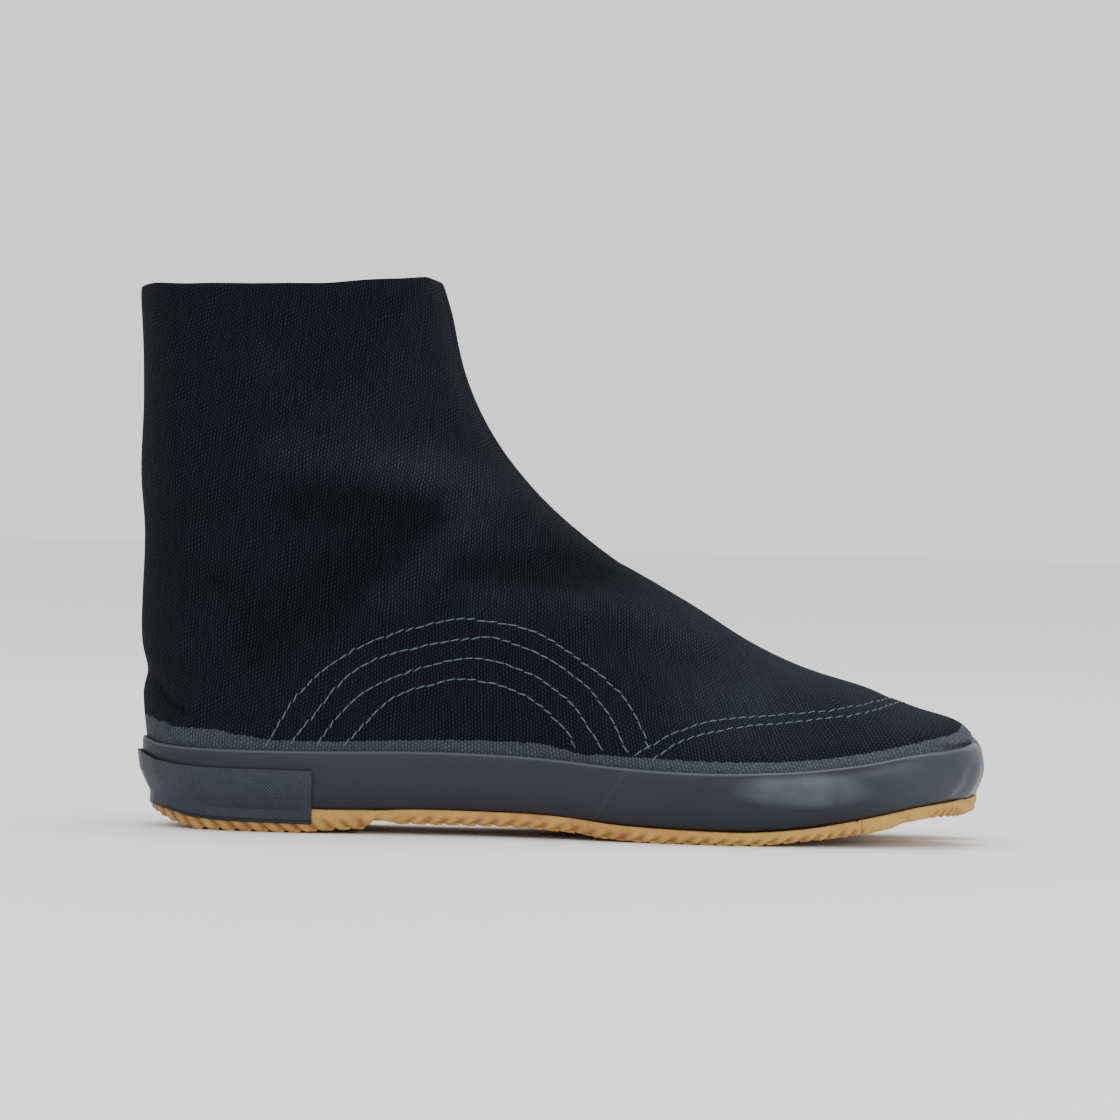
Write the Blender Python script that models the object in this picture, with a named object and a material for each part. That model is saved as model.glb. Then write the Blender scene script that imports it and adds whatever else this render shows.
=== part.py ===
"""Jika tabi for the right foot: a split-toe canvas boot with a rubber foxing and a ribbed gum sole.

X runs from heel to toe, Y from the outer side (-Y) to the inner side (+Y), Z up from the floor.
Every piece is worked out from one skin, the outer face of the canvas, so they all follow each other.
"""
import math

import bmesh
import bpy
import numpy as np

MM = 0.001

# Overall sizes
LENGTH = 275 * MM
SHAFT_DEPTH = 95.5 * MM
SHAFT_WIDTH = 54 * MM
HEEL_WIDTH = 62 * MM
WAIST_WIDTH = 58 * MM
BALL_WIDTH = 90 * MM
TOE_WIDTH = 79 * MM

# Heights above the top of the gum sole
FOXING_HEIGHT = 18.5 * MM
INSTEP_HEIGHT = 90 * MM
COLLAR_HEIGHT = 166.8 * MM
COLLAR_RISE = 5 * MM

# Split between the big toe and the other four
CLEFT_DEPTH = 45 * MM
CLEFT_WIDTH = 7.6 * MM
CLEFT_SIDE = 10.5 * MM
COVER_LENGTH = 105 * MM

# Canvas, rubber and footbed
WALL = 1.7 * MM
PANEL_STEP = 0.7 * MM
FOXING_THICKNESS = 2.3 * MM
STRIP_THICKNESS = 0.9 * MM
STRIP_REACH = 57 * MM
STRIP_HEIGHT = 17.2 * MM
STRIP_DROP = 4.3 * MM
INSOLE_THICKNESS = 4 * MM
INSOLE_CLEARANCE = 1.2 * MM
GAP = 0.3 * MM

# Gum sole
BED_HEIGHT = 8 * MM
ARCH_LIFT = 3.5 * MM
TOE_SPRING = 9.3 * MM
GUM_LIP = 0.5 * MM
GUM_DRAFT = 0.7 * MM
RIB_DEPTH = 0.9 * MM
RIB_PITCH = 5.3 * MM

# Skin of the upper, one row a level: 0 is its bottom, 1 the foxing's top, 2 the instep, 3 the collar.
# Back and lag are shares of the length, front of the length past the shaft, cleft and ridge of the
# cleft's depth and side, and the rest of the half widths.
SKIN_COLUMNS = (
    "level", "back", "front", "lag", "cleft", "ridge",
    "heel", "waist_out", "waist_in", "ball_out", "ball_in", "toe_out", "toe_in",
)
SKIN = (
    (0.00, 0.025, 0.976, 0.010, 0.97, 1.00, 0.82, 0.88, 0.76, 0.89, 0.85, 0.80, 0.91),
    (0.14, 0.019, 0.980, 0.010, 0.98, 1.00, 0.89, 0.95, 0.83, 0.95, 0.90, 0.86, 0.98),
    (0.38, 0.012, 0.988, 0.010, 1.00, 1.00, 0.95, 1.02, 0.90, 0.99, 0.95, 0.90, 1.03),
    (0.70, 0.009, 0.986, 0.010, 1.00, 1.00, 0.99, 1.06, 0.93, 1.01, 0.97, 0.92, 1.05),
    (1.00, 0.007, 0.972, 0.009, 1.00, 1.00, 1.00, 1.07, 0.93, 1.00, 0.97, 0.91, 1.04),
    (1.035, 0.004, 0.956, 0.006, 0.94, 1.00, 0.99, 1.06, 0.93, 1.00, 0.97, 0.90, 1.04),
    (1.077, 0.003, 0.938, 0.002, 0.78, 1.00, 0.98, 1.05, 0.92, 0.99, 0.97, 0.89, 1.04),
    (1.133, 0.001, 0.886, -0.001, 0.60, 1.00, 0.97, 1.03, 0.91, 0.97, 0.96, 0.86, 1.04),
    (1.230, -0.001, 0.820, -0.003, 0.40, 0.96, 0.95, 1.00, 0.90, 0.93, 0.94, 0.80, 1.03),
    (1.290, 0.001, 0.788, -0.003, 0.32, 0.93, 0.94, 0.97, 0.90, 0.91, 0.93, 0.75, 1.01),
    (1.340, 0.006, 0.752, -0.003, 0.24, 0.91, 0.93, 0.95, 0.89, 0.88, 0.91, 0.70, 0.98),
    (1.430, -0.004, 0.670, -0.002, 0.04, 0.86, 0.92, 0.93, 0.89, 0.84, 0.88, 0.64, 0.90),
    (1.540, -0.006, 0.586, 0.000, 0.00, 0.72, 0.90, 0.92, 0.89, 0.81, 0.85, 0.60, 0.80),
    (1.665, -0.006, 0.491, 0.000, -0.02, 0.52, 0.88, 0.92, 0.91, 0.80, 0.83, 0.59, 0.71),
    (1.820, -0.004, 0.384, 0.000, -0.035, 0.33, 0.86, 0.94, 0.93, 0.83, 0.84, 0.59, 0.65),
    (2.000, -0.001, 0.246, 0.000, -0.04, 0.19, 0.84, 0.96, 0.96, 0.89, 0.89, 0.61, 0.64),
    (2.200, -0.008, 0.137, 0.000, -0.04, 0.09, 0.82, 0.98, 0.98, 0.91, 0.91, 0.63, 0.64),
    (2.420, -0.006, 0.068, 0.000, -0.04, 0.04, 0.81, 0.99, 0.99, 0.92, 0.92, 0.64, 0.64),
    (2.650, -0.009, 0.021, 0.000, -0.04, 0.00, 0.80, 1.00, 1.00, 0.92, 0.92, 0.64, 0.64),
    (2.850, -0.012, 0.004, 0.000, -0.04, 0.00, 0.80, 1.00, 1.00, 0.92, 0.92, 0.64, 0.64),
    (3.000, -0.015, -0.014, 0.000, -0.04, 0.00, 0.80, 1.00, 1.00, 0.92, 0.92, 0.64, 0.64),
)
FOXING_LEVELS = (0.016, 0.14, 0.38, 0.70, 1.0)
FOXING_OUTSIDE = FOXING_LEVELS[:-1] + (0.95, 1.0)
UPPER_LEVELS = FOXING_LEVELS + (
    1.035, 1.077, 1.133, 1.18, 1.225, 1.235, 1.29, 1.34, 1.43, 1.54, 1.665,
    1.82, 2.0, 2.2, 2.42, 2.65, 2.85, 3.0,
)
PANEL_LEVEL = 1.23

# Stations of the outline as shares of its length, and steps between its anchor points on one side
STATIONS = {"heel": 0.16, "waist": 0.40, "ball": 0.70, "toe": 0.885}
TIP_OUT = 0.28
TIP_IN = 0.50
SIDE_STEPS = (2, 2, 3, 5, 6, 4, 2, 2, 2, 2, 2, 2, 1)
HEEL_TURNS = (30, 60)

# Rounding from the toe's side to its tip, as shares of the way along and across, split in two and whole
ROUNDING_COLUMNS = ("lobe_along", "lobe_across", "nose_along", "nose_across")
ROUNDING = ((0.50, 0.134, 0.45, 0.27), (0.866, 0.50, 0.80, 0.62))

# From a tip into the cleft: share of the way across and of the depth, and the wall's flare in cleft widths
CLEFT_COLUMNS = ("across", "deep", "flare")
CLEFT = ((0.35, 0.20, 0.2), (0.65, 0.55, 0.0), (0.88, 0.94, 0.0))

# Shares of the cleft's depth over which the lobes round out and the split opens
LOBE_BLEND = 0.2
SPLIT_BLEND = 0.5

# Foxing thickness up its side, as shares of its height and thickness
FOXING_COLUMNS = ("height", "thickness")
FOXING = ((0.0, 0.78), (0.14, 0.90), (0.38, 1.0), (0.70, 1.0), (0.95, 0.9), (1.0, 0.6))

# Top of the gum along the shoe: place, share of the bed's height, share of the toe spring
BED_COLUMNS = ("along", "body", "spring")
BED = (
    (0.0, 1.0, 0.0), (0.04, 0.90, 0.0), (0.10, 0.85, 0.0), (0.20, 0.85, 0.0), (0.34, 1.0, 0.0),
    (0.45, 0.96, 0.0), (0.50, 0.87, 0.0),
    (0.56, 0.64, 0.0), (0.62, 0.54, 0.0), (0.70, 0.49, 0.0), (0.77, 0.49, 0.14), (0.82, 0.49, 0.37),
    (0.87, 0.50, 0.66), (0.91, 0.50, 0.94), (0.955, 0.50, 1.14), (1.0, 0.50, 1.36),
)

# Underside of the gum: place, share of the arch's lift, share of the toe spring
TREAD_COLUMNS = ("along", "arch", "spring")
TREAD = (
    (0.0, 1.3, 0.0), (0.02, 0.75, 0.0), (0.045, 0.28, 0.0), (0.075, 0.0, 0.0), (0.185, 0.0, 0.0),
    (0.235, 0.33, 0.0), (0.268, 0.5, 0.0), (0.274, 1.28, 0.0), (0.30, 1.28, 0.0), (0.306, 1.0, 0.0),
    (0.44, 0.98, 0.0), (0.47, 0.86, 0.0), (0.515, 0.66, 0.0), (0.545, 0.28, 0.0), (0.58, 0.08, 0.0),
    (0.61, 0.0, 0.0), (0.72, 0.0, 0.0), (0.77, 0.0, 0.16), (0.81, 0.0, 0.31), (0.87, 0.0, 0.59),
    (0.91, 0.0, 0.88), (0.955, 0.0, 1.10), (1.0, 0.0, 1.28),
)

# Stretches of ribs under the sole: start, end, and share of the pitch
RIBS = ((0.03, 0.262, 1.0), (0.31, 0.785, 1.0), (0.785, 0.865, 0.75), (0.945, 0.985, 0.5))
RIB_CREST = 0.50
RIB_SLOPE = 0.16

# Cross cuts in the footbed, and the angle in degrees past which an edge is shown sharp
INSOLE_CUTS = 24
SHARP_ANGLE = 40

COLOURS = {
    "outsole": ((200, 150, 85), 0.6),
    "foxing": ((62, 66, 74), 0.5),
    "heel_strip": ((60, 72, 84), 0.7),
    "upper": ((24, 27, 33), 0.95),
    "insole": ((60, 58, 54), 0.9),
}


def column(table, names, name):
    """One named column of a table."""
    return np.array([row[names.index(name)] for row in table])


def smooth(places, values, at):
    """A curve through the values that never overshoots them."""
    places, values, at = (np.asarray(v, dtype=float) for v in (places, values, at))
    step = np.diff(places)
    rise = np.diff(values) / step
    slope = np.zeros(len(places))
    slope[0], slope[-1] = rise[0], rise[-1]
    for i in range(1, len(places) - 1):
        if rise[i - 1] * rise[i] > 0:
            before, after = step[i - 1], step[i]
            slope[i] = (before + after) / (
                (before / 3 + 2 * after / 3) / rise[i - 1] + (2 * before / 3 + after / 3) / rise[i]
            )
    at = np.clip(at, places[0], places[-1])
    i = np.clip(np.searchsorted(places, at, side="right") - 1, 0, len(step) - 1)
    t = (at - places[i]) / step[i]
    return (
        (1 + 2 * t) * (1 - t) ** 2 * values[i]
        + t * (1 - t) ** 2 * step[i] * slope[i]
        + t * t * (3 - 2 * t) * values[i + 1]
        + t * t * (t - 1) * step[i] * slope[i + 1]
    )


def bed(x):
    """Height of the top of the gum."""
    along = column(BED, BED_COLUMNS, "along")
    body = column(BED, BED_COLUMNS, "body") * BED_HEIGHT
    spring = column(BED, BED_COLUMNS, "spring") * TOE_SPRING
    return smooth(along * LENGTH, body + spring, x)


def tread(x):
    """Height of the rib crests under the sole."""
    along = column(TREAD, TREAD_COLUMNS, "along")
    arch = column(TREAD, TREAD_COLUMNS, "arch") * ARCH_LIFT
    spring = column(TREAD, TREAD_COLUMNS, "spring") * TOE_SPRING
    return np.interp(x, along * LENGTH, arch + spring)


def height_of(level):
    """Height of a level above the gum."""
    return np.interp(level, (0, 1, 2, 3), (0, FOXING_HEIGHT, INSTEP_HEIGHT, COLLAR_HEIGHT))


def level_of(height):
    """Level at a height above the gum."""
    return np.interp(height, (0, FOXING_HEIGHT, INSTEP_HEIGHT, COLLAR_HEIGHT), (0, 1, 2, 3))


def ease(share):
    """A soft step from 0 to 1."""
    share = min(max(share, 0), 1)
    return share * share * (3 - 2 * share)


def skin_row(level):
    """The skin's values at a level, worked out between the table's rows."""
    levels = column(SKIN, SKIN_COLUMNS, "level")
    return {name: float(smooth(levels, column(SKIN, SKIN_COLUMNS, name), level)) for name in SKIN_COLUMNS[1:]}


def half_width(level, foot_width):
    """Half a width of the foot, which passes into the shaft's above the foxing."""
    shaft = min(max(level - 1, 0), 1)
    return (foot_width * (1 - shaft) + SHAFT_WIDTH * shaft) / 2


def side_points(level, row, sign, tip, tip_share):
    """Points along the outer (-1) or inner (+1) side, from the back round the tip into the cleft."""
    name = "_out" if sign < 0 else "_in"
    back = row["back"] * LENGTH
    tip_in = SHAFT_DEPTH + row["front"] * (LENGTH - SHAFT_DEPTH)
    place = {station: back + share * (tip_in - back) for station, share in STATIONS.items()}
    root = tip_in - row["cleft"] * CLEFT_DEPTH
    ridge = row["ridge"] * CLEFT_SIDE
    heel = row["heel"] * half_width(level, HEEL_WIDTH)
    toe = sign * row["toe" + name] * half_width(level, TOE_WIDTH)
    points = []
    for turn in HEEL_TURNS:
        t = math.radians(turn)
        points.append((back + (place["heel"] - back) * (1 - math.cos(t)), sign * heel * math.sin(t)))
    points.append((place["heel"], sign * heel))
    points.append((place["waist"], sign * row["waist" + name] * half_width(level, WAIST_WIDTH)))
    points.append((place["ball"], sign * row["ball" + name] * half_width(level, BALL_WIDTH)))
    points.append((place["toe"], toe))
    lobe = ease((tip - root) / (CLEFT_DEPTH * LOBE_BLEND))
    split = ease((tip - root) / (CLEFT_DEPTH * SPLIT_BLEND))
    tip_y = ridge + tip_share * (toe - ridge)
    for lobe_along, lobe_across, nose_along, nose_across in ROUNDING:
        along = lobe * lobe_along + (1 - lobe) * nose_along
        across = lobe * lobe_across + (1 - lobe) * nose_across
        points.append((place["toe"] + (tip - place["toe"]) * along, toe + (tip_y - toe) * across))
    points.append((tip, tip_y))
    for across, deep, flare in CLEFT:
        whole = (tip + (root - tip) * (1 - (1 - across) ** 2), tip_y + across * (ridge - tip_y))
        cut = (tip + (root - tip) * deep, ridge + sign * CLEFT_WIDTH * (0.5 + flare))
        points.append(tuple(split * c + (1 - split) * w for c, w in zip(cut, whole)))
    return points


def anchors(level):
    """Points that one level's outline runs through, from the back round the outer side."""
    row = skin_row(level)
    tip_in = SHAFT_DEPTH + row["front"] * (LENGTH - SHAFT_DEPTH)
    tip_out = tip_in - row["lag"] * LENGTH
    outer = side_points(level, row, -1, tip_out, TIP_OUT)
    inner = side_points(level, row, 1, tip_in, TIP_IN)
    root = (tip_in - row["cleft"] * CLEFT_DEPTH, row["ridge"] * CLEFT_SIDE)
    return np.array([(row["back"] * LENGTH, 0.0)] + outer + [root] + inner[::-1])


def spline(points, steps):
    """A closed curve through the points, with so many steps after each."""
    count = len(points)
    result = []
    for i in range(count):
        p = [points[(i + k) % count] for k in (-1, 0, 1, 2)]
        t = [0.0]
        for a, b in zip(p, p[1:]):
            t.append(t[-1] + max(np.linalg.norm(b - a), 1e-9) ** 0.5)
        for k in range(steps[i]):
            at = t[1] + (t[2] - t[1]) * k / steps[i]
            a = [((t[j + 1] - at) * p[j] + (at - t[j]) * p[j + 1]) / (t[j + 1] - t[j]) for j in range(3)]
            b = [((t[j + 2] - at) * a[j] + (at - t[j]) * a[j + 1]) / (t[j + 2] - t[j]) for j in range(2)]
            result.append(((t[2] - at) * b[0] + (at - t[1]) * b[1]) / (t[2] - t[1]))
    return np.array(result)


def outline(level, offset=0.0):
    """The skin's outline at a level in plan, moved outward by an offset."""
    points = spline(anchors(level), SIDE_STEPS + SIDE_STEPS[::-1])
    along = np.roll(points, -1, axis=0) - np.roll(points, 1, axis=0)
    along /= np.linalg.norm(along, axis=1)[:, None]
    outward = np.stack([along[:, 1], -along[:, 0]], axis=1)
    return points + offset * outward


def ring(level, offset=0.0):
    """The outline at a level as points in space."""
    flat = outline(level, offset)
    lean = min(max(level - 2, 0), 1) ** 2 * COLLAR_RISE
    z = bed(flat[:, 0]) + height_of(level) + lean * flat[:, 0] / SHAFT_DEPTH
    return np.column_stack([flat, z])


def new_object(name, bm):
    """An object of the shoe with its own material."""
    bmesh.ops.recalc_face_normals(bm, faces=bm.faces)
    mesh = bpy.data.meshes.new(name)
    bm.to_mesh(mesh)
    bm.free()
    item = bpy.data.objects.new(name, mesh)
    shoe.objects.link(item)
    colour, roughness = COLOURS[name]
    material = bpy.data.materials.new(name)
    material.use_nodes = True
    shader = material.node_tree.nodes["Principled BSDF"]
    linear = [((c / 255 + 0.055) / 1.055) ** 2.4 for c in colour]
    shader.inputs["Base Color"].default_value = (*linear, 1)
    shader.inputs["Roughness"].default_value = roughness
    shader.inputs["Metallic"].default_value = 0
    mesh.materials.append(material)
    mesh.shade_smooth()
    mesh.set_sharp_from_angle(angle=math.radians(SHARP_ANGLE))
    return item


def loft(name, rings, round_about=True):
    """A solid whose skin runs through the rings and back to the first; open rings get end faces."""
    bm = bmesh.new()
    rows = [[bm.verts.new(p) for p in points] for points in rings]
    count = len(rows[0])
    for i, row in enumerate(rows):
        after = rows[(i + 1) % len(rows)]
        for k in range(count if round_about else count - 1):
            n = (k + 1) % count
            bm.faces.new((row[k], row[n], after[n], after[k]))
    if not round_about:
        bm.faces.new([row[0] for row in rows])
        bm.faces.new([row[-1] for row in rows[::-1]])
    return new_object(name, bm)


def plate(name, low, high, stations, low_z, high_z):
    """A slab between two outlines, cut across at each station so that it follows both heights."""
    bm = bmesh.new()
    rows = [[bm.verts.new((x, y, z)) for x, y in flat] for z, flat in ((0, low), (1, high))]
    bm.faces.new(rows[0][::-1])
    bm.faces.new(rows[1])
    count = len(low)
    for k in range(count):
        n = (k + 1) % count
        bm.faces.new((rows[0][k], rows[0][n], rows[1][n], rows[1][k]))
    for x in stations:
        everything = bm.verts[:] + bm.edges[:] + bm.faces[:]
        bmesh.ops.bisect_plane(bm, geom=everything, plane_co=(x, 0, 0), plane_no=(1, 0, 0), dist=1e-6)
    for vert in bm.verts:
        share = vert.co.z
        vert.co.z = float(low_z(vert.co.x)) * (1 - share) + float(high_z(vert.co.x)) * share
    return new_object(name, bm)


def rib_stations():
    """Places along the sole where a rib's crest or groove starts or ends, with the groove's share there."""
    found = [(0.0, 0.0)]
    for start, end, pitch in RIBS:
        step = pitch * RIB_PITCH
        for i in range(int((end - start) * LENGTH / step + 0.5)):
            crest = start * LENGTH + i * step
            found.append((crest, 0.0))
            found.append((crest + RIB_CREST * step, 0.0))
            found.append((crest + (RIB_CREST + RIB_SLOPE) * step, 1.0))
            found.append((crest + (1 - RIB_SLOPE) * step, 1.0))
        found.append((crest + step, 0.0))
    found.append((LENGTH, 0.0))
    return found


def make_outsole():
    """Gum sole: flush under the foxing, ribbed underneath, with heel, arch and toe spring."""
    reach = foxing_offset(0) + GUM_LIP
    ribs = rib_stations()
    places = [x for x, _ in ribs]
    grooves = [g for _, g in ribs]
    breaks = list(column(TREAD, TREAD_COLUMNS, "along") * LENGTH)
    stations = sorted(set(round(x, 6) for x in places + breaks))

    def underside(x):
        return tread(x) + RIB_DEPTH * np.interp(x, places, grooves)

    return plate("outsole", outline(0, reach - GUM_DRAFT), outline(0, reach), stations, underside, bed)


def foxing_offset(share):
    """How far the foxing's outer face stands off the skin at a share of its height."""
    heights = column(FOXING, FOXING_COLUMNS, "height")
    thicknesses = column(FOXING, FOXING_COLUMNS, "thickness") * FOXING_THICKNESS
    return GAP + float(np.interp(share, heights, thicknesses))


def make_foxing():
    """Rubber band round the upper's foot."""
    outside = [ring(level, foxing_offset(level)) for level in FOXING_OUTSIDE]
    inside = [ring(level, GAP) for level in FOXING_LEVELS]
    return loft("foxing", outside + inside[::-1])


def make_upper():
    """Canvas shell with the wall's full thickness, and the toe cover as a step in its outer face."""
    base = np.array([ring(level) for level in UPPER_LEVELS])
    up = np.gradient(base, axis=0)
    round_about = np.roll(base, -1, axis=1) - np.roll(base, 1, axis=1)
    outward = np.cross(round_about, up)
    outward /= np.linalg.norm(outward, axis=2)[:, :, None]
    cover = np.zeros(base.shape[:2])
    for i, level in enumerate(UPPER_LEVELS):
        if FOXING_LEVELS[-1] < level < PANEL_LEVEL:
            cover[i] = np.where(base[i][:, 0] > LENGTH - COVER_LENGTH, PANEL_STEP, 0)
    outside = base + cover[:, :, None] * outward
    inside = base - WALL * outward
    return loft("upper", list(outside) + list(inside)[::-1])


def make_insole():
    """Footbed lying on the gum inside the upper."""
    top_level = level_of(GAP + INSOLE_THICKNESS)
    low = outline(FOXING_LEVELS[0], -WALL - INSOLE_CLEARANCE)
    high = outline(top_level, -WALL - INSOLE_CLEARANCE)
    stations = np.linspace(low[:, 0].min(), low[:, 0].max(), INSOLE_CUTS + 2)[1:-1]

    def underside(x):
        return bed(x) + GAP

    def top(x):
        return bed(x) + GAP + INSOLE_THICKNESS

    return plate("insole", low, high, stations, underside, top)


def make_heel_strip():
    """Textured strip round the heel, over the foxing and the edge of the gum."""
    reach = foxing_offset(0) + GUM_LIP
    top = float(level_of(STRIP_HEIGHT - STRIP_DROP))
    below = [level for level in FOXING_OUTSIDE if level < top][1:]
    above = min(level for level in FOXING_OUTSIDE if level >= top)
    sides = []
    for extra in (GAP + STRIP_THICKNESS, GAP):
        gum_edge = ring(0, reach + extra)
        gum_low = gum_edge - (0, 0, STRIP_DROP)
        rows = [gum_low, gum_edge] + [ring(level, foxing_offset(level) + extra) for level in below]
        share = (top - below[-1]) / (above - below[-1])
        rows.append(rows[-1] + share * (ring(above, foxing_offset(above) + extra) - rows[-1]))
        sides.append([cut_to_heel(points) for points in rows])
    return loft("heel_strip", sides[0] + sides[1][::-1], round_about=False)


def cut_to_heel(points):
    """The stretch of a ring round the heel, ending at the strip's reach on both sides."""
    half = len(points) // 2
    ordered = np.concatenate([points[half:], points[:half]])
    base = outline(FOXING_LEVELS[2])
    keep = np.where(np.concatenate([base[half:, 0], base[:half, 0]]) < STRIP_REACH)[0]
    first, last = keep[0], keep[-1]

    def end(inner, outer):
        share = (STRIP_REACH - inner[0]) / (outer[0] - inner[0])
        return inner + share * (outer - inner)

    start = end(ordered[first], ordered[first - 1])
    stop = end(ordered[last], ordered[last + 1])
    return np.concatenate([[start], ordered[first:last + 1], [stop]])


def stand_on_origin():
    """Moves the shoe so that the origin is under the middle of its box, on the floor."""
    low = np.full(3, np.inf)
    high = np.full(3, -np.inf)
    for item in shoe.objects:
        for vert in item.data.vertices:
            low = np.minimum(low, vert.co)
            high = np.maximum(high, vert.co)
    middle = (low + high) / 2
    stand = bpy.data.objects.new("shoe_origin", None)
    for item in list(shoe.objects):
        item.parent = stand
    shoe.objects.link(stand)
    stand.location = (-middle[0], -middle[1], -low[2])


for old in list(bpy.data.objects):
    bpy.data.objects.remove(old, do_unlink=True)
shoe = bpy.data.collections.new("jika_tabi")
bpy.context.scene.collection.children.link(shoe)

make_outsole()
make_foxing()
make_upper()
make_insole()
make_heel_strip()
stand_on_origin()
bpy.context.view_layer.update()
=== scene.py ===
import math
import random

import bmesh
import bpy
import numpy as np
from mathutils import Matrix, Vector, noise
from mathutils.bvhtree import BVHTree


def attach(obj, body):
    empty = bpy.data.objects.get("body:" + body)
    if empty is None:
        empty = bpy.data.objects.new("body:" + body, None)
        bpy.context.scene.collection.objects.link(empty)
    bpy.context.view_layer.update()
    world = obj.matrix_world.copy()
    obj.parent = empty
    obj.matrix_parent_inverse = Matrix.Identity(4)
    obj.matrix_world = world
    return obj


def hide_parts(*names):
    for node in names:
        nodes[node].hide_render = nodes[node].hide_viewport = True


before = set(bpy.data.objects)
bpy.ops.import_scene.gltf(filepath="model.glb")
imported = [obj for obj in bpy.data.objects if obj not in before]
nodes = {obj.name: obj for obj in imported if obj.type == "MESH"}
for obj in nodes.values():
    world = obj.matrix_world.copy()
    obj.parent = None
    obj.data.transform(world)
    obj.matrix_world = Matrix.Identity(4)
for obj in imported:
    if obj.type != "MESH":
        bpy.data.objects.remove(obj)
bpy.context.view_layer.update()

scene = bpy.context.scene
MM = 0.001


# The camera stands square to the outer side, at the height of the instep, and looks almost level.
# The frame is rolled so that the toe end lies a little lower, as in the photograph.
CAMERA_AT = (-1.4, -1600.0, 100.0)
CAMERA_TIP = 0.403
CAMERA_ROLL = 1.35
CAMERA_LENS = 158.7
CAMERA_SENSOR = 36.0
CAMERA_REACH = 20000.0

camera_data = bpy.data.cameras.new("camera")
camera_data.lens = CAMERA_LENS
camera_data.sensor_width = CAMERA_SENSOR
camera_data.clip_end = CAMERA_REACH * MM
camera = bpy.data.objects.new("camera", camera_data)
camera.matrix_world = (
    Matrix.Translation(Vector(CAMERA_AT) * MM)
    @ Matrix.Rotation(math.radians(90 - CAMERA_TIP), 4, "X")
    @ Matrix.Rotation(math.radians(CAMERA_ROLL), 4, "Z")
)
scene.collection.objects.link(camera)
scene.camera = camera


# The stage is one wide pale floor under an evenly bright sky, with soft lamps above and in front.
# The front lamp stands low towards the toe, so the polished foxing shows one soft highlight there.
# Its places and sizes are in metres.
FLOOR_WIDTH = 300.0
FLOOR_PALE = (0.91, 0.91, 0.915)
FLOOR_DULL_SHARE = 0.985
SKY = (0.955, 0.96, 0.97)
SKY_STRENGTH = 1.24
LAMPS = (  # name, place, aim, size, power
    ("overhead", (0.2, 0.2, 2.6), (0.0, 0.0, 0.0), 1.6, 28.0),
    ("glint", (0.88, -2.05, 0.62), (0.06, 0.0, 0.02), 0.6, 13.0),
    ("fill", (-0.6, -2.2, 1.3), (0.0, 0.0, 0.06), 1.4, 8.0),
)

bpy.ops.object.select_all(action="DESELECT")
bpy.ops.mesh.primitive_plane_add(size=FLOOR_WIDTH)
floor = bpy.context.object
floor.name = "floor"


def new_material(name, colour, roughness):
    """A new material with its Principled shader, colour and roughness set."""
    material = bpy.data.materials.new(name)
    material.use_nodes = True
    shader = material.node_tree.nodes["Principled BSDF"]
    shader.inputs["Base Color"].default_value = (*colour[:3], 1.0)
    shader.inputs["Roughness"].default_value = roughness
    return material, material.node_tree, shader


def feed(tree, socket, value):
    """Links a socket to another socket, or sets its number or colour."""
    if isinstance(value, bpy.types.NodeSocket):
        tree.links.new(value, socket)
    elif socket.type == "RGBA":
        socket.default_value = (*value[:3], 1.0)
    else:
        socket.default_value = value


def calc(tree, operation, *values):
    """A Math node on up to three numbers or sockets, and its result."""
    made = tree.nodes.new("ShaderNodeMath")
    made.operation = operation
    for socket, value in zip(made.inputs, values):
        feed(tree, socket, value)
    return made.outputs[0]


def between(tree, value, low, high):
    """Rises smoothly from 0 to 1 as the value goes from low to high."""
    made = tree.nodes.new("ShaderNodeMapRange")
    made.interpolation_type = "SMOOTHSTEP"
    feed(tree, made.inputs["Value"], value)
    feed(tree, made.inputs["From Min"], low)
    feed(tree, made.inputs["From Max"], high)
    return made.outputs["Result"]


def tint(tree, share, first, second):
    """The first colour where the share is 0 and the second where it is 1."""
    made = tree.nodes.new("ShaderNodeMix")
    made.data_type = "RGBA"
    feed(tree, made.inputs[0], share)
    feed(tree, made.inputs[6], first)
    feed(tree, made.inputs[7], second)
    return made.outputs[2]


def place_of(tree):
    """The point on the piece, in metres."""
    return tree.nodes.new("ShaderNodeTexCoord").outputs["Object"]


def axes_of(tree, vector):
    """The three parts of a vector."""
    made = tree.nodes.new("ShaderNodeSeparateXYZ")
    feed(tree, made.inputs[0], vector)
    return made.outputs


def cloud(tree, scale, detail=3.0, roughness=0.5, vector=None):
    """Soft noise with so many lumps a metre, or a unit of the vector given."""
    made = tree.nodes.new("ShaderNodeTexNoise")
    feed(tree, made.inputs["Vector"], place_of(tree) if vector is None else vector)
    feed(tree, made.inputs["Scale"], scale)
    feed(tree, made.inputs["Detail"], detail)
    feed(tree, made.inputs["Roughness"], roughness)
    return made.outputs["Fac"]


def attribute(tree, name):
    """A number that the mesh carries at its points."""
    made = tree.nodes.new("ShaderNodeAttribute")
    made.attribute_name = name
    return made.outputs["Fac"]


def bump(tree, shader, height, distance, strength=1.0):
    """Raises the surface by the height times the distance."""
    made = tree.nodes.new("ShaderNodeBump")
    feed(tree, made.inputs["Strength"], strength)
    feed(tree, made.inputs["Distance"], distance)
    feed(tree, made.inputs["Height"], height)
    tree.links.new(made.outputs["Normal"], shader.inputs["Normal"])


pale, pale_tree, pale_shader = new_material("pale floor", FLOOR_PALE, 0.8)
feed(pale_tree, pale_shader.inputs["Base Color"],
     tint(pale_tree, cloud(pale_tree, 3.0), [c * FLOOR_DULL_SHARE for c in FLOOR_PALE], FLOOR_PALE))
floor.data.materials.append(pale)

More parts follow.
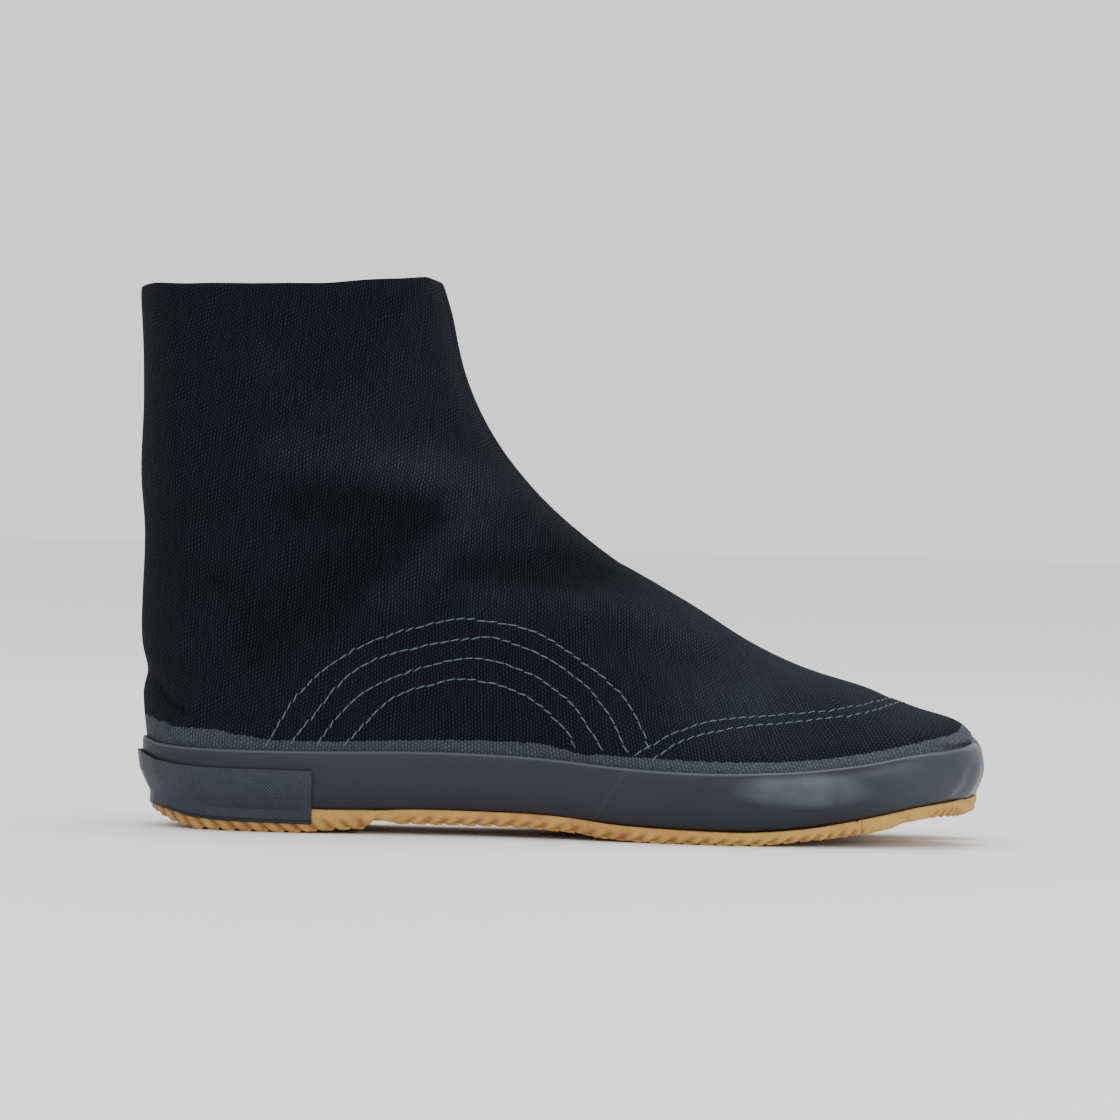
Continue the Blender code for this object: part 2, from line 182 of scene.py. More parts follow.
for lamp_name, place, aim, size, power in LAMPS:
    lamp_data = bpy.data.lights.new(lamp_name, "AREA")
    lamp_data.shape = "DISK"
    lamp_data.size = size
    lamp_data.energy = power
    lamp = bpy.data.objects.new(lamp_name, lamp_data)
    lamp.location = place
    lamp.rotation_euler = (Vector(aim) - Vector(place)).to_track_quat("-Z", "Y").to_euler()
    scene.collection.objects.link(lamp)

world = bpy.data.worlds.new("studio")
world.use_nodes = True
world.node_tree.nodes["Background"].inputs["Color"].default_value = (*SKY, 1.0)
world.node_tree.nodes["Background"].inputs["Strength"].default_value = SKY_STRENGTH
scene.world = world


# The gum outsole is one moulded sheet with cross ribs, cemented under the foxing.
# The ribs run out into its bare edge, where they end in slanted lobes like a laid rope.
GUM_CLEAN = (0.45, 0.255, 0.050)
GUM_SOILED = (0.30, 0.130, 0.022)
GUM_GROOVE_SHADE = (0.16, 0.062, 0.010)
LEVEL = 0.75
SAME_PLACE = 0.01
TREAD_TOP_SHARE = 0.55
TREAD_MARGIN = 0.8
TREAD_STEP = 3.0
TREAD_REACH = 3.2
EDGE_CLEARANCE = 0.12
EDGE_STEP = 0.55
LOBE_HEIGHT = 0.75
LOBE_SHARPNESS = 0.6
LOBE_MEAN = 0.62
LOBE_NOTCH = 0.75
ROPE_FADE = 0.22
TIP_TUCK = 0.5
TIP_FLARE = 1.6
LOBE_PITCH = ((70, 5.3), (85, 3.975), (118, 3.975), (126, 2.65))  # along, pitch
LOBE_SLANT = ((-70, 1.0), (-50, -0.8), (105, -0.8), (118, -1.5))  # along, slant
ROPE_TOP = (  # along, share of height
    (-110, 0.95), (-75, 0.68), (90, 0.62), (118, 0.75), (127, 0.75), (131, 0.3),
)
PLAIN_EDGE = ((-60.5, 0), (-55.5, 1), (-50.5, 0), (96, 0), (99, 1), (117, 1), (120, 0))  # along, plainness
TIP_SHARE = ((128, 0), (134, 1))  # along, share
SWEEP = (  # along, rise of the top, rise of the bottom
    (-140, 4.2, 3.6), (-132, 3.6, 2.7), (-128, 3.5, 2.0), (-123, 2.5, 0.9), (-118, 1.4, 0.2),
    (-114, 1.0, 0.0), (-98, 0.6, 0.0), (-79, 0.4, 0.0), (-60, 0.0, 0.0), (98, 0.0, 0.0), (104, 0.0, 0.4),
    (110, 0.0, 0.9), (117, 0.0, 2.2), (122, 0.0, 2.6), (129, 0.0, 2.8), (134, 0.0, 3.5), (140, 0.0, 4.0),
)
EDGE = (  # share of height, way out
    (1.02, -1.2), (1.08, -0.30), (1.07, 0.15), (1.00, 0.38), (0.86, 0.46), (0.70, 0.44), (0.56, 0.40),
    (0.44, 0.38), (0.32, 0.34), (0.20, 0.24), (0.10, 0.05), (0.03, -0.25), (0.00, -0.7), (0.06, -1.6),
)


def select_only(made):
    """Makes one object the only selected one and the active one."""
    bpy.ops.object.select_all(action="DESELECT")
    made.select_set(True)
    bpy.context.view_layer.objects.active = made


def smooth_by_angle(made, degrees):
    """Smooth shading, with the edges sharper than the angle kept sharp."""
    select_only(made)
    bpy.ops.object.shade_smooth_by_angle(angle=math.radians(degrees))


def node_copy(node, name):
    """A copy of a CAD node with its triangles merged and joined into quads, made the active object."""
    made = bpy.data.objects.new(name, nodes[node].data.copy())
    scene.collection.objects.link(made)
    select_only(made)
    made.data.materials.clear()
    bpy.ops.mesh.customdata_custom_splitnormals_clear()
    bpy.ops.object.mode_set(mode="EDIT")
    bpy.ops.mesh.select_all(action="SELECT")
    bpy.ops.mesh.remove_doubles(threshold=SAME_PLACE * MM)
    bpy.ops.mesh.tris_convert_to_quads(
        face_threshold=math.pi, shape_threshold=math.pi, topology_influence=2.0)
    bpy.ops.mesh.select_all(action="DESELECT")
    edit = bmesh.from_edit_mesh(made.data)
    for edge in edit.edges:
        edge.select_set(all(len(face.verts) == 3 for face in edge.link_faces))
    if node in ("upper", "foxing") and any(edge.select for edge in edit.edges):
        bpy.ops.mesh.dissolve_edges(use_verts=False)
    bpy.ops.object.mode_set(mode="OBJECT")
    return made


def apply_modifier(made, kind, **values):
    """Adds a modifier with these values and applies it."""
    modifier = made.modifiers.new(kind.lower(), kind)
    for name, value in values.items():
        setattr(modifier, name, value)
    bpy.context.view_layer.objects.active = made
    bpy.ops.object.modifier_apply(modifier=modifier.name)


def finish(made, material, node=None):
    """Gives a piece its material, smooth faces and body, and hides the CAD node that it stands for."""
    if not made.data.materials:
        made.data.materials.append(material)
    for face in made.data.polygons:
        face.use_smooth = True
    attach(made, "root")
    if node:
        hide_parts(node)


def add_numbers(made, name, values):
    """Writes one number a vertex under a name that a material reads."""
    numbers = made.data.attributes.new(name, "FLOAT", "POINT").data
    numbers.foreach_set("value", np.asarray(values, dtype=np.float32))


def outer_loop(made, facing):
    """The longest edge loop round the faces that look up (1) or down (-1), from the heel on."""
    edit = bmesh.new()
    edit.from_mesh(made.data)
    flat = {face for face in edit.faces if face.normal.z * facing > LEVEL}
    rim = [edge for edge in edit.edges if len(flat.intersection(edge.link_faces)) == 1]
    after = {}
    for edge in rim:
        for vert in edge.verts:
            after.setdefault(vert, []).append(edge.other_vert(vert))
    loops = []
    left = set(after)
    while left:
        here = left.pop()
        walk = [here]
        ahead = [vert for vert in after[here] if vert in left]
        while ahead:
            here = ahead[0]
            left.remove(here)
            walk.append(here)
            ahead = [vert for vert in after[here] if vert in left]
        loops.append(np.array([tuple(vert.co) for vert in walk]) / MM)
    edit.free()
    loop = max(loops, key=lambda loop: np.ptp(loop[:, 0]) + np.ptp(loop[:, 1]) + 0.001 * len(loop))
    if np.sum(loop[:, 0] * np.roll(loop[:, 1], -1) - loop[:, 1] * np.roll(loop[:, 0], -1)) < 0:
        loop = loop[::-1]
    return np.roll(loop, -np.lexsort((loop[:, 1], loop[:, 0].round(3)))[0], axis=0)


def even_steps(path, step):
    """Points at even steps along a closed path in plan, the way outwards at each, and the length gone."""
    ring = np.vstack([path, path[:1]])
    gone = np.concatenate([[0], np.cumsum(np.linalg.norm(np.diff(ring[:, :2], axis=0), axis=1))])
    count = int(gone[-1] / step)
    at = np.arange(count) * gone[-1] / count
    plan = np.column_stack([np.interp(at, gone, ring[:, k]) for k in (0, 1)])
    along = np.roll(plan, -3, axis=0) - np.roll(plan, 3, axis=0)
    along /= np.linalg.norm(along, axis=1)[:, None]
    return plan, np.column_stack([along[:, 1], -along[:, 0]]), at


def band_mesh(name, rows):
    """A closed ring whose closed section runs through the rows of points, made into an object."""
    tall, count = rows.shape[:2]
    faces = []
    for j in range(tall):
        for i in range(count):
            a, b = j * count + i, j * count + (i + 1) % count
            c, d = ((j + 1) % tall) * count + (i + 1) % count, ((j + 1) % tall) * count + i
            faces.append((a, b, c, d))
    mesh = bpy.data.meshes.new(name)
    mesh.from_pydata((rows.reshape(-1, 3) * MM).tolist(), [], faces)
    made = bpy.data.objects.new(name, mesh)
    scene.collection.objects.link(made)
    select_only(made)
    bpy.ops.object.mode_set(mode="EDIT")
    bpy.ops.mesh.select_all(action="SELECT")
    bpy.ops.mesh.normals_make_consistent(inside=False)
    bpy.ops.object.mode_set(mode="OBJECT")
    return made


def table(rows, x, column=1):
    """The value of a column of a table at each x, on straight lines between its rows."""
    return np.interp(x, [row[0] for row in rows], [row[column] for row in rows])


def along_loop(loop, x):
    """The height of a loop of points at each x."""
    order = np.argsort(loop[:, 0])
    return np.interp(x, loop[order, 0], loop[order, 2])


def move_points(made, places):
    """Puts the vertices of a mesh at these places, in millimetres."""
    made.data.vertices.foreach_set("co", (places * MM).reshape(-1))
    made.data.update()


sole = node_copy("outsole", "gum_outsole")
sole_points = np.array([tuple(vert.co) for vert in sole.data.vertices]) / MM
sole_top = outer_loop(sole, 1)
plan, out, gone = even_steps(sole_top, EDGE_STEP)
top_at = along_loop(sole_top, plan[:, 0]) + table(SWEEP, plan[:, 0])
sole_top_at = along_loop(sole_top, sole_points[:, 0])
in_tread = sole_points[:, 2] < sole_top_at * TREAD_TOP_SHARE + TREAD_MARGIN
under = sole_points[in_tread]
bins = np.arange(under[:, 0].min(), under[:, 0].max() + TREAD_STEP, TREAD_STEP)
tread_low = [under[np.abs(under[:, 0] - x) < TREAD_REACH][:, 2].min() for x in bins]
low_at = np.interp(plan[:, 0], bins, tread_low) + EDGE_CLEARANCE + table(SWEEP, plan[:, 0], 2)
sole_low_at = np.interp(sole_points[:, 0], bins, tread_low)
share = np.clip((sole_points[:, 2] - sole_low_at) / (sole_top_at - sole_low_at), 0, 1)
swept = sole_points.copy()
swept[:, 2] += share * table(SWEEP, swept[:, 0]) + (1 - share) * table(SWEEP, swept[:, 0], 2)
move_points(sole, swept)

up = np.array([row[0] for row in EDGE])[:, None]
stand = np.array([row[1] for row in EDGE])[:, None]
height = low_at + up * (top_at - low_at)
along_x = np.clip(np.gradient(plan[:, 0]) / np.gradient(gone) * 3, -1, 1)
slant = along_x * table(LOBE_SLANT, plan[:, 0])
turns = np.cumsum(np.gradient(gone) / table(LOBE_PITCH, plan[:, 0]))
turns *= round(turns[-1]) / turns[-1]
wave = 0.5 + 0.5 * np.cos(2 * np.pi * (turns + slant * (up - 0.3)))
plain = table(PLAIN_EDGE, plan[:, 0])
rope = np.clip((table(ROPE_TOP, plan[:, 0]) - up) / ROPE_FADE, 0, 1) * (1 - plain)
rope *= np.clip((up + 0.02) / 0.12, 0, 1)
off_middle = 2 * np.clip(up, 0, 1) - 1
stand = stand + rope * LOBE_HEIGHT * (wave ** LOBE_SHARPNESS - LOBE_MEAN)
stand = stand - table(TIP_SHARE, plan[:, 0]) * (TIP_TUCK + TIP_FLARE * off_middle ** 4)
height = height + np.clip((0.3 - up) / 0.3, 0, 1) * (1 - plain) * LOBE_NOTCH * (1 - wave)
rows = np.stack([plan[:, 0] + out[:, 0] * stand, plan[:, 1] + out[:, 1] * stand, height], axis=2)
edge_band = band_mesh("gum_edge", rows)
# Painted shade: the gap numbers darken the grooves between the edge lobes and the hollows of the tread.
add_numbers(edge_band, "gap", (rope * (1 - wave) ** 1.5).reshape(-1))
add_numbers(sole, "gap", np.clip((sole_points[:, 2] - sole_low_at - 0.15) / 0.8, 0, 1) * in_tread)

gum, gum_tree, gum_shader = new_material("gum rubber", GUM_CLEAN, 0.6)
towards_toe = between(gum_tree, axes_of(gum_tree, place_of(gum_tree))["X"], -0.03, 0.12)
soil = calc(gum_tree, "MULTIPLY_ADD", cloud(gum_tree, 170.0, 6.0, 0.72), 3.4, -1.35)
soil = calc(gum_tree, "SUBTRACT", soil, calc(gum_tree, "MULTIPLY", towards_toe, 0.40))
soil = calc(gum_tree, "MINIMUM", calc(gum_tree, "MAXIMUM", soil, 0.0), 1.0)
gum_colour = tint(gum_tree, soil, GUM_CLEAN, GUM_SOILED)
# Painted shade in the grooves, from the gap numbers.
gum_colour = tint(gum_tree, calc(gum_tree, "MULTIPLY", attribute(gum_tree, "gap"), 0.85), gum_colour, GUM_GROOVE_SHADE)
feed(gum_tree, gum_shader.inputs["Base Color"], gum_colour)
bump(gum_tree, gum_shader, cloud(gum_tree, 1500.0, 4.0, 0.7), 0.00025, 0.5)
gum_shader.inputs["Subsurface Weight"].default_value = 0.08
gum_shader.inputs["Subsurface Radius"].default_value = (0.003, 0.0015, 0.0006)
apply_modifier(sole, "BEVEL", width=0.25 * MM, segments=2, limit_method="ANGLE", angle_limit=math.radians(35))
finish(sole, gum, "outsole")
smooth_by_angle(sole, 30)
finish(edge_band, gum, "outsole")


# The foxing is the smooth slate rubber wall wrapped round the upper and cemented over the sole's edge.
# It has a fine lighter bead along its top, is matt at the heel, polished at the toe, and puckers at the tip.
# A soft lighter patch low on the toe side is a painted highlight, mixed with a scuff.
FOXING_MATT = (0.0205, 0.0216, 0.0275)
FOXING_POLISHED = (0.0100, 0.0145, 0.0195)
FOXING_TOE = (0.0360, 0.0440, 0.0530)
FOXING_BEAD = (0.080, 0.092, 0.108)
# The scuff colour stands for a painted highlight as well as a lighter scuff.
FOXING_SCUFF_AND_HIGHLIGHT = (0.080, 0.096, 0.114)
BEAD_WIDTH = 0.6
SCUFF_HIGHLIGHT_X, SCUFF_HIGHLIGHT_Z = 0.077, 0.0182
SCUFF_HIGHLIGHT_LONG, SCUFF_HIGHLIGHT_TALL = 0.022, 0.0058
MOULD_LINE_X, MOULD_LINE_LEAN = 0.0069, 0.60
RUBBER_SPECULAR = 0.24
TIP_BULGE = 0.9
RIM = (  # along, rise
    (-138, 3.6), (-134, 2.4), (-129, 1.2), (-120, 1.0), (-75, 1.1), (-40, 0.7), (0, 0.2), (40, 0.3),
    (65, 0.6), (85, 0.0), (98, -0.6), (108, -0.7), (115, -1.0), (122, -1.4), (129, -1.2), (134, -0.8),
    (138, -0.6),
)
PUCKERS = (  # path along and up, height, width
    (((134.5, 26.0), (133.2, 20.5), (130.2, 15.6)), 0.45, 0.8),
    (((131.0, 25.0), (129.6, 20.0), (126.8, 16.4)), -0.40, 0.8),
    (((128.5, 24.0), (126.2, 19.5), (122.0, 15.8)), 0.30, 1.0),
)


def away_from(path, places):
    """How far each place lies from a path of points, both in the same flat units."""
    nearest = np.full(len(places), np.inf)
    for a, b in zip(np.array(path[:-1], dtype=float), np.array(path[1:], dtype=float)):
        share = np.clip(((places - a) @ (b - a)) / ((b - a) @ (b - a)), 0, 1)
        nearest = np.minimum(nearest, np.linalg.norm(places - (a + share[:, None] * (b - a)), axis=1))
    return nearest


def points_of(made):
    """The vertices of a mesh, and the unit vectors outwards at them."""
    places = np.array([tuple(vert.co) for vert in made.data.vertices]) / MM
    facing = np.array([tuple(vert.normal) for vert in made.data.vertices])
    return places, facing


foxing = node_copy("foxing", "foxing_wall")
foxing_low = outer_loop(foxing, -1)
foxing_high = outer_loop(foxing, 1)
apply_modifier(foxing, "SUBSURF", levels=2, render_levels=2)
places, facing = points_of(foxing)
low, high = along_loop(foxing_low, places[:, 0]), along_loop(foxing_high, places[:, 0])
share = np.clip((places[:, 2] - low) / (high - low), 0, 1)
middle = 4 * share * (1 - share)
places[:, 0] += TIP_BULGE * np.clip((places[:, 0] - 126) / 12, 0, 1) * (0.4 + 0.6 * middle)
places[:, 2] += share * table(RIM, places[:, 0]) + (1 - share) * table(SWEEP, places[:, 0])
outside = np.clip(-facing[:, 1] * 2 + 0.6, 0, 1)
for path, tall, wide in PUCKERS:
    near = np.exp(-(away_from(path, places[:, (0, 2)]) / wide) ** 2) * outside
    places = places + facing * (tall * near)[:, None]
move_points(foxing, places)

rim = bmesh.new()
rim.from_mesh(foxing.data)
for face in [face for face in rim.faces if face.normal.z < LEVEL]:
    rim.faces.remove(face)
rim_faces = BVHTree.FromBMesh(rim)
rim.free()
below_rim = [rim_faces.find_nearest(vert.co)[3] / MM for vert in foxing.data.vertices]
add_numbers(foxing, "below_rim", below_rim)

slate, slate_tree, slate_shader = new_material("slate rubber", FOXING_MATT, 0.5)
slate_x = axes_of(slate_tree, place_of(slate_tree))["X"]
slate_z = axes_of(slate_tree, place_of(slate_tree))["Z"]
polished = between(slate_tree, slate_x, 0.004, 0.05)
smears = cloud(slate_tree, 34.0, 4.0, 0.55)
slate_colour = tint(slate_tree, calc(slate_tree, "MULTIPLY", polished, smears), FOXING_MATT, FOXING_POLISHED)
at_toe = between(slate_tree, slate_x, 0.085, 0.118)
slate_colour = tint(slate_tree, calc(slate_tree, "MULTIPLY", at_toe, calc(slate_tree, "ADD", smears, 0.3)),
                    slate_colour, FOXING_TOE)
# Painted highlight: an oval patch low on the toe side is tinted lighter, broken up by noise like a scuff.
scuff_highlight_x = calc(slate_tree, "DIVIDE", calc(slate_tree, "SUBTRACT", slate_x, SCUFF_HIGHLIGHT_X), SCUFF_HIGHLIGHT_LONG)
scuff_highlight_z = calc(slate_tree, "DIVIDE", calc(slate_tree, "SUBTRACT", slate_z, SCUFF_HIGHLIGHT_Z), SCUFF_HIGHLIGHT_TALL)
scuff_highlight_far = calc(slate_tree, "ADD", calc(slate_tree, "MULTIPLY", scuff_highlight_x, scuff_highlight_x),
                 calc(slate_tree, "MULTIPLY", scuff_highlight_z, scuff_highlight_z))
in_scuff_highlight = calc(slate_tree, "SUBTRACT", 1.0, between(slate_tree, scuff_highlight_far, 0.0, 1.3))
scuffed_and_lit = calc(slate_tree, "MULTIPLY", in_scuff_highlight,
               between(slate_tree, cloud(slate_tree, 70.0, 3.0, 0.5), 0.05, 0.75))
slate_colour = tint(slate_tree, calc(slate_tree, "MULTIPLY", scuffed_and_lit, 0.85), slate_colour, FOXING_SCUFF_AND_HIGHLIGHT)
bead = calc(slate_tree, "SUBTRACT", 1.0,
            between(slate_tree, attribute(slate_tree, "below_rim"), BEAD_WIDTH * 0.5, BEAD_WIDTH * 1.4))
slate_colour = tint(slate_tree, calc(slate_tree, "MULTIPLY", bead, 0.55), slate_colour, FOXING_BEAD)
seam_x = calc(slate_tree, "MULTIPLY_ADD", slate_z, MOULD_LINE_LEAN, MOULD_LINE_X)
off_seam = calc(slate_tree, "ABSOLUTE", calc(slate_tree, "SUBTRACT", slate_x, seam_x))
on_seam = calc(slate_tree, "SUBTRACT", 1.0, between(slate_tree, off_seam, 0.0002, 0.0011))
slate_colour = tint(slate_tree, calc(slate_tree, "MULTIPLY", on_seam, 0.07), slate_colour, FOXING_BEAD)
feed(slate_tree, slate_shader.inputs["Base Color"], slate_colour)
slate_rough = calc(slate_tree, "SUBTRACT", calc(slate_tree, "MULTIPLY_ADD", smears, 0.16, 0.50),
                   calc(slate_tree, "MULTIPLY", polished, 0.22))
slate_shader.inputs["Specular IOR Level"].default_value = RUBBER_SPECULAR
feed(slate_tree, slate_shader.inputs["Roughness"], slate_rough)
waves = calc(slate_tree, "MULTIPLY_ADD", cloud(slate_tree, 45.0, 2.0), 3.0,
             calc(slate_tree, "MULTIPLY_ADD", cloud(slate_tree, 1800.0, 3.0), 0.15,
                  calc(slate_tree, "MULTIPLY", on_seam, 0.14)))
bump(slate_tree, slate_shader, waves, 0.0003, 0.5)
finish(foxing, slate, "foxing")


# The heel strip is a thin rubber band with a knurled face, wrapped round the back over foxing and gum.
# It is cut square at both ends, and a plain border runs along its lower edge.
STRIP_COLOUR = (0.0118, 0.0140, 0.0192)
STRIP_PAINTED_HIGHLIGHT = (0.070, 0.083, 0.103)
KNURL_PITCH = 1.0
KNURL_LEAN = 0.8
STRIP_BORDER = 1.2
TURN_CENTRE = (-104.0, 0.6)
TURN_RUN = 51.0
STRIP_SWEEP = (  # along, rise of the top, rise of the bottom
    (-140, 4.4, 3.7), (-134, 3.0, 3.6), (-131, 1.7, 3.6), (-128, 1.2, 3.5), (-123, 0.9, 2.5),
    (-118, 0.7, 1.4), (-114, 0.65, 1.0), (-98, 0.6, 0.6), (-79, 0.5, 0.4),
)

strip = node_copy("heel_strip", "heel_strip_knurled")
strip_low = outer_loop(strip, -1)
strip_high = outer_loop(strip, 1)
apply_modifier(strip, "BEVEL", width=0.22 * MM, segments=2, limit_method="ANGLE",
               angle_limit=math.radians(40))
strip_places, _ = points_of(strip)
low, high = along_loop(strip_low, strip_places[:, 0]), along_loop(strip_high, strip_places[:, 0])
share = np.clip((strip_places[:, 2] - low) / (high - low), 0, 1)
strip_rise = strip_places[:, 2] - low
strip_places[:, 2] += (share * table(STRIP_SWEEP, strip_places[:, 0])
                       + (1 - share) * table(STRIP_SWEEP, strip_places[:, 0], 2))
move_points(strip, strip_places)
past_turn = strip_places[:, 0] - TURN_CENTRE[0]
swing = np.arctan2(strip_places[:, 1] - TURN_CENTRE[1], -past_turn)
run = np.where(past_turn > 0, np.sign(strip_places[:, 1]) * (TURN_RUN + past_turn),
               swing * TURN_RUN / (np.pi / 2))
add_numbers(strip, "run", run)
add_numbers(strip, "rise", strip_rise)

knurled, knurled_tree, knurled_shader = new_material("knurled rubber", STRIP_COLOUR, 0.55)
run_at = attribute(knurled_tree, "run")
rise_at = attribute(knurled_tree, "rise")
wobble = calc(knurled_tree, "MULTIPLY", cloud(knurled_tree, 260.0, 2.0), 0.6)


def knurl(slope):
    """One set of slanted ridges across the strip."""
    phase = calc(knurled_tree, "ADD", calc(knurled_tree, "MULTIPLY_ADD", rise_at, slope, run_at), wobble)
    return calc(knurled_tree, "SINE", calc(knurled_tree, "MULTIPLY", phase, 2 * math.pi / KNURL_PITCH))


ridges = calc(knurled_tree, "ADD", knurl(KNURL_LEAN), knurl(-KNURL_LEAN))
ridges = calc(knurled_tree, "MULTIPLY_ADD", ridges, 0.25, 0.5)
in_border = calc(knurled_tree, "SUBTRACT", 1.0,
                 between(knurled_tree, rise_at, STRIP_BORDER - 0.25, STRIP_BORDER))
shaded_border_groove = calc(knurled_tree, "MULTIPLY", in_border,
                   between(knurled_tree, rise_at, STRIP_BORDER - 0.7, STRIP_BORDER - 0.3))
ridges = calc(knurled_tree, "MULTIPLY", ridges, calc(knurled_tree, "SUBTRACT", 1.0, in_border))
evenness = calc(knurled_tree, "MULTIPLY_ADD", cloud(knurled_tree, 400.0, 3.0), 0.5, 0.25)
# Painted highlight: the tops of the knurl ridges are tinted lighter than the troughs.
strip_colour = tint(knurled_tree, calc(knurled_tree, "MULTIPLY", ridges, evenness), STRIP_COLOUR, STRIP_PAINTED_HIGHLIGHT)
# Painted shade: the groove along the border is darkened in colour as well as bumped in.
strip_colour = tint(knurled_tree, calc(knurled_tree, "MULTIPLY", shaded_border_groove, 0.6), strip_colour,
                    [c * 0.55 for c in STRIP_COLOUR])
feed(knurled_tree, knurled_shader.inputs["Base Color"], strip_colour)
bump(knurled_tree, knurled_shader, calc(knurled_tree, "SUBTRACT", ridges, shaded_border_groove), 0.0002, 0.9)
knurled_shader.inputs["Specular IOR Level"].default_value = RUBBER_SPECULAR
finish(strip, knurled, "heel_strip")
smooth_by_angle(strip, 35)


# The upper is heavy plain-woven canvas, cut as an outer and an inner half, joined at the heel and the vamp.
# Both halves are laid flat along those seams, so the weave runs over each as it does on the cut cloth.
CANVAS_GAP = (0.0010, 0.0013, 0.0022)
CANVAS_THREAD = (0.0112, 0.0126, 0.0180)
CANVAS_FADED_AND_LIT = (0.0420, 0.0515, 0.0650)
CEMENT_COLOUR = (0.0150, 0.0165, 0.0205)
CEMENT_LIGHT = (0.090, 0.105, 0.120)
TIP_PUSH = 2.4
FOLD_ANGLE = 50.0
CENTRE_LINE = (  # along, across
    (-35, 0.7), (-26, 1.1), (-14, 1.6), (6, 2.7), (30, 4.1), (60, 7.0), (88, 11.0), (140, 10.5),
)
SEAM_DEPTH = 0.35
SEAM_WIDTH = 1.3
INNER_CREASE_SHARE = 0.8
INNER_CREASE_SHIFT = (3.0, -2.0)
SLACK = 1.1
SLACK_LUMPS = 0.022
COLLAR_WAVER = 0.8
COLLAR_DIP = 1.9
CANVAS_SPECULAR = 0.06
# Folds are painted lighter on their tops and darker in their troughs: painted light and shade, with some wear
# on the tops.
FOLD_WEAR_AND_SHADE = 0.085
WORN_ALL_OVER = 0.07
LINING_COLOUR = (0.012, 0.013, 0.017)
COLUMN_PITCH = 1.0
DOT_PITCH = 1.33
CEMENT = (  # along, height above the rim
    (-136, 7.4), (-128, 7.2), (-124, 6.2), (-114, 6.1), (-109, 6.4), (-105, 5.5), (-98, 4.5), (-94, 3.7),
    (-68, 3.5), (-50, 3.9), (-6, 4.8), (6.5, 3.0), (8.5, 2.6), (11, 3.6), (30, 4.0), (60, 3.9), (88, 3.8),
    (110, 3.8), (118, 4.6), (125, 4.7), (127.5, 5.3), (129, 6.6), (131, 8.5),
)
CREASES = (  # path along and up, height, width
    (((-92, 122), (-65, 118.6), (-46, 116.0), (-24, 110)), 2.7, 6.5),
    (((-84, 105), (-60, 105), (-43, 103.5)), -3.0, 5.5),
    (((-48, 98), (-64, 85), (-78, 74), (-96, 63)), -2.5, 8.0),
    (((-33, 99), (-44, 87), (-58, 75)), 2.2, 6.5),
    (((-32, 87), (-12, 85), (12, 86)), -2.4, 6.0),
    (((-26, 75.0), (-1, 74.5), (18, 73), (42, 65)), 1.8, 6.0),
    (((-98, 150), (-84, 138), (-66, 131)), 0.9, 8.0),
    (((20, 66), (38, 58), (58, 54)), -0.9, 6.0),
    (((-130.0, 47.4), (-127.8, 43.6), (-125.2, 40.6), (-119, 37.5)), -1.1, 1.5),
    (((-130.5, 51.5), (-126.5, 46.5), (-122.5, 42.8), (-115, 39.8)), 0.8, 2.4),
    (((-127, 99), (-118, 104), (-108, 105)), -0.7, 5.0),
    (((-128, 86), (-117, 80), (-104, 79)), -0.8, 6.0),
    (((-60, 168), (-72, 152), (-84, 141)), -0.6, 9.0),
)
# Soft lighter spots: the canvas's fading and dust, together with painted light where the vamp top catches the
# light.
FADE_AND_LIGHT_SPOTS = (  # along, up, radius, share
    (62.0, 55.0, 25.0, 0.46), (26.0, 71.0, 14.0, 0.12), (94.0, 52.0, 19.0, 0.26), (112.0, 42.0, 13.0, 0.26),
    (-45.0, 114.0, 15.0, 0.18), (-42.0, 150.0, 26.0, 0.10), (-26.0, 92.0, 16.0, 0.16),
    (40.0, 36.0, 26.0, 0.08),
)


def patches_of(edit, borders):
    """The groups of faces that join without crossing a border edge."""
    left = set(edit.faces)
    found = []
    while left:
        waiting = [left.pop()]
        patch = []
        while waiting:
            face = waiting.pop()
            patch.append(face)
            for edge in face.edges:
                if edge not in borders:
                    new = [other for other in edge.link_faces if other in left]
                    left.difference_update(new)
                    waiting.extend(new)
        found.append(patch)
    return found


upper = node_copy("upper", "canvas_upper")
walls = bmesh.new()
walls.from_mesh(nodes["upper"].data)
bmesh.ops.remove_doubles(walls, verts=walls.verts, dist=SAME_PLACE * MM)
walls.normal_update()
folds = {edge for edge in walls.edges if edge.calc_face_angle(0) > math.radians(FOLD_ANGLE)}
patches = patches_of(walls, folds)
outside_faces = max(patches, key=lambda patch: sum(face.calc_area() for face in patch))
turned_in = max(patches, key=lambda patch: min(face.calc_center_median().z for face in patch))
shown = set(outside_faces + turned_in)
walls.faces.index_update()
is_hidden = [face not in shown for face in walls.faces]
wall_faces = BVHTree.FromBMesh(walls)
walls.free()

edit = bmesh.new()
edit.from_mesh(upper.data)
edit.normal_update()
for face in edit.faces:
    face.material_index = int(is_hidden[wall_faces.find_nearest(face.calc_center_median())[2]])


def sheet_of(face):
    """Which of the four sheets a face belongs to: canvas or lining, outer or inner half."""
    middle = face.calc_center_median() / MM
    return face.material_index, middle.y > table(CENTRE_LINE, middle.x)


for edge in edit.edges:
    edge.seam = len({sheet_of(face) for face in edge.link_faces}) > 1
edit.to_mesh(upper.data)
edit.free()
bpy.ops.object.mode_set(mode="EDIT")
bpy.ops.mesh.select_all(action="SELECT")
bpy.ops.uv.unwrap(method="MINIMUM_STRETCH", margin=0.01)
bpy.ops.object.mode_set(mode="OBJECT")

